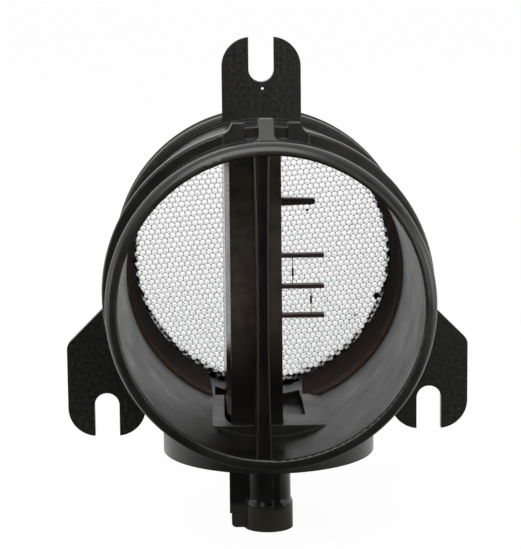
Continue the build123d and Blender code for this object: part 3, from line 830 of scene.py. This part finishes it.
arm_coat = moulded(
    "brown_black_lacquered_strip", "#351614", "#4a2321", cloud_mm=2.0, roughness=0.38,
    grain_mm=0.4, grain_depth=0.01, edge_mm=0.10,
)
dress(arm_coat, "support_arm_1", "support_arm_2", "support_arm_3")
probe_resin = moulded(
    "dark_dipped_resin", "#2e1211", "#421e1c", cloud_mm=2.0, roughness=0.28, grain_mm=0.7,
    grain_depth=0.02, edge_mm=0.20,
)
dress(probe_resin, "temperature_probe")

# ---- Wound elements ----------------------------------------------------------------------
# Two thin ceramic rods wound with platinum wire under a dark, shiny glaze, each standing on
# its leads between two arms. Dull grey platinum beads weld the leads to the arms. The real
# winding is too fine to show, so each is drawn coarser, with nine turns.

glaze, tree = new_material("dark_glazed_ceramic")
_, colour = cloudy(tree, 0.5, "#1c1917", "#3a3430")
body_glass = add(
    tree, "ShaderNodeBsdfPrincipled", {"Base Color": colour, "Roughness": 0.25, "IOR": 1.5}
)
add(tree, "ShaderNodeOutputMaterial", {"Surface": body_glass.outputs[0]})
dress(glaze, "heater_element", "reference_element")
platinum = bare_metal(
    "dull_platinum_wire", "#5a5654", "#8f8a86", roughness=0.4, mark_mm=0.1,
    crowding=(1.0, 1.0, 1.0),
)

turn_count = 9.0
bead_wires = 4.5             # a bead's radius, in radii of the wire
coil = bpy.data.node_groups.new("platinum_winding", "GeometryNodeTree")
coil.interface.new_socket("Geometry", in_out="OUTPUT", socket_type="NodeSocketGeometry")
coil.interface.new_socket("Centre", in_out="INPUT", socket_type="NodeSocketVector")
for name in ("Length", "Radius", "Wire", "Top", "Bottom"):
    coil.interface.new_socket(name, in_out="INPUT", socket_type="NodeSocketFloat")
given = add(coil, "NodeGroupInput").outputs
turns = add(
    coil, "GeometryNodeCurveSpiral",
    {"Resolution": 14, "Rotations": turn_count, "Start Radius": given["Radius"],
     "End Radius": given["Radius"], "Height": given["Length"]},
)
lower = add(coil, "ShaderNodeMath", {0: given["Length"], 1: -0.5}, operation="MULTIPLY")
lower = add(coil, "ShaderNodeCombineXYZ", {"Z": lower.outputs[0]})
middle = add(coil, "ShaderNodeVectorMath", {0: given["Centre"], 1: lower.outputs[0]})
turns = add(
    coil, "GeometryNodeTransform", {"Geometry": turns.outputs[0], "Translation": middle.outputs[0]}
)
section = add(coil, "GeometryNodeCurvePrimitiveCircle", {"Resolution": 6, "Radius": given["Wire"]})
wire = add(
    coil, "GeometryNodeCurveToMesh",
    {"Curve": turns.outputs[0], "Profile Curve": section.outputs[0], "Fill Caps": True},
)
everything = add(coil, "GeometryNodeJoinGeometry", {0: wire.outputs[0]})
bead_r = add(coil, "ShaderNodeMath", {0: given["Wire"], 1: bead_wires}, operation="MULTIPLY")
ball = add(
    coil, "GeometryNodeMeshUVSphere", {"Segments": 12, "Rings": 8, "Radius": bead_r.outputs[0]}
)
apart = add(coil, "ShaderNodeSeparateXYZ", {0: given["Centre"]}).outputs
for end in ("Top", "Bottom"):
    spot = add(coil, "ShaderNodeCombineXYZ", {"X": apart["X"], "Y": apart["Y"], "Z": given[end]})
    bead = add(
        coil, "GeometryNodeTransform", {"Geometry": ball.outputs[0], "Translation": spot.outputs[0]}
    )
    coil.links.new(bead.outputs[0], everything.inputs[0])
finished = add(
    coil, "GeometryNodeSetMaterial", {"Geometry": everything.outputs[0], "Material": platinum}
)
finished = add(coil, "GeometryNodeRealizeInstances", {0: finished.outputs[0]})
add(coil, "NodeGroupOutput", {"Geometry": finished.outputs[0]})

rod_r = 0.275 * MM
wire_r = 0.035 * MM
wound_len = 1.7 * MM
for number, (node, rise) in enumerate(
    (("heater_element", 3.25 * MM), ("reference_element", 3.65 * MM)), start=1
):
    low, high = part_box(node)
    centre = ((low.x + high.x) / 2, (low.y + high.y) / 2, low.z + rise)
    winding = grown(
        f"platinum_winding_{number}", coil,
        {"Centre": centre, "Length": wound_len, "Radius": rod_r, "Wire": wire_r,
         "Top": high.z, "Bottom": low.z},
    )
    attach(winding, "root")

# ---- Circuit board and its parts ---------------------------------------------------------
# A green glass-epoxy board in the pod with two black epoxy packages, two fired ceramic
# capacitors and a plain aluminium heat spreader. The resist shows copper faintly beneath.

resist, tree = new_material("green_solder_resist")
_, colour = cloudy(tree, 6.0, "#1c5a34", "#2b7a48")
track_pitch_mm, track_share = 2.4, 0.05
tracks = add(
    tree, "ShaderNodeTexBrick",
    {"Vector": place_of(tree, track_pitch_mm), "Color1": (0, 0, 0, 1),
     "Color2": (0.15, 0.15, 0.15, 1), "Mortar": (1, 1, 1, 1), "Mortar Size": track_share,
     "Scale": 1.0},
)
traced = add(
    tree, "ShaderNodeMix", {0: tracks.outputs["Color"], 6: colour, 7: linear("#4c8a4e")},
    data_type="RGBA",
)
varnish = add(
    tree, "ShaderNodeBsdfPrincipled", {"Base Color": traced.outputs[2], "Roughness": 0.35}
)
add(tree, "ShaderNodeOutputMaterial", {"Surface": varnish.outputs[0]})
dress(resist, "circuit_board")

# Moulded epoxy is an even, matt black, fired ceramic a cloudy tan, and the sawn heat
# spreader is streaked along its length.
chip_resin = moulded(
    "matt_black_epoxy", "#141414", "#1f1f1f", cloud_mm=1.5, roughness=0.55, grain_mm=0.15,
    grain_depth=0.01, edge_mm=0.10,
)
dress(chip_resin, "control_chip", "driver_chip")
fired_tan = moulded(
    "fired_tan_ceramic", "#8a6c4c", "#a98a66", cloud_mm=0.8, roughness=0.45, grain_mm=0.1,
    grain_depth=0.01, edge_mm=0.15,
)
dress(fired_tan, "filter_capacitor_1", "filter_capacitor_2")
sawn_metal = bare_metal(
    "sawn_aluminium", "#a9abad", "#d0d2d4", roughness=0.38, mark_mm=0.4,
    crowding=(1.0, 12.0, 12.0),
)
dress(sawn_metal, "heat_spreader")

# ---- Pod cover with plug socket ----------------------------------------------------------
# The lid and its socket are moulded in one piece of glossier black nylon, snapped and
# sealed into the pod. Its neck is polished where the plug slides on, the band below is dusty.

cover_nylon = moulded(
    "polished_black_nylon", "#070705", "#12110c", cloud_mm=5.0, roughness=0.17, grain_mm=0.6,
    grain_depth=0.006, edge_mm=0.30,
)
tinted(cover_nylon, "#2f2e25", clear_z=-60.6 * MM, full_z=-62.4 * MM, amount=0.7)
dress(cover_nylon, "pod_cover")

# ---- Terminals ---------------------------------------------------------------------------
# Five round brass pins, drawn and tinned, that stand in the plug socket. The tin is a pale
# yellow grey, with the fine lines of drawing along each pin.

tinned_brass = bare_metal(
    "tinned_brass_pin", "#a59c80", "#cfc8b0", roughness=0.3, mark_mm=0.3,
    crowding=(6.0, 6.0, 1.0),
)
dress(tinned_brass, *(f"terminal_{number}" for number in range(1, 6)))
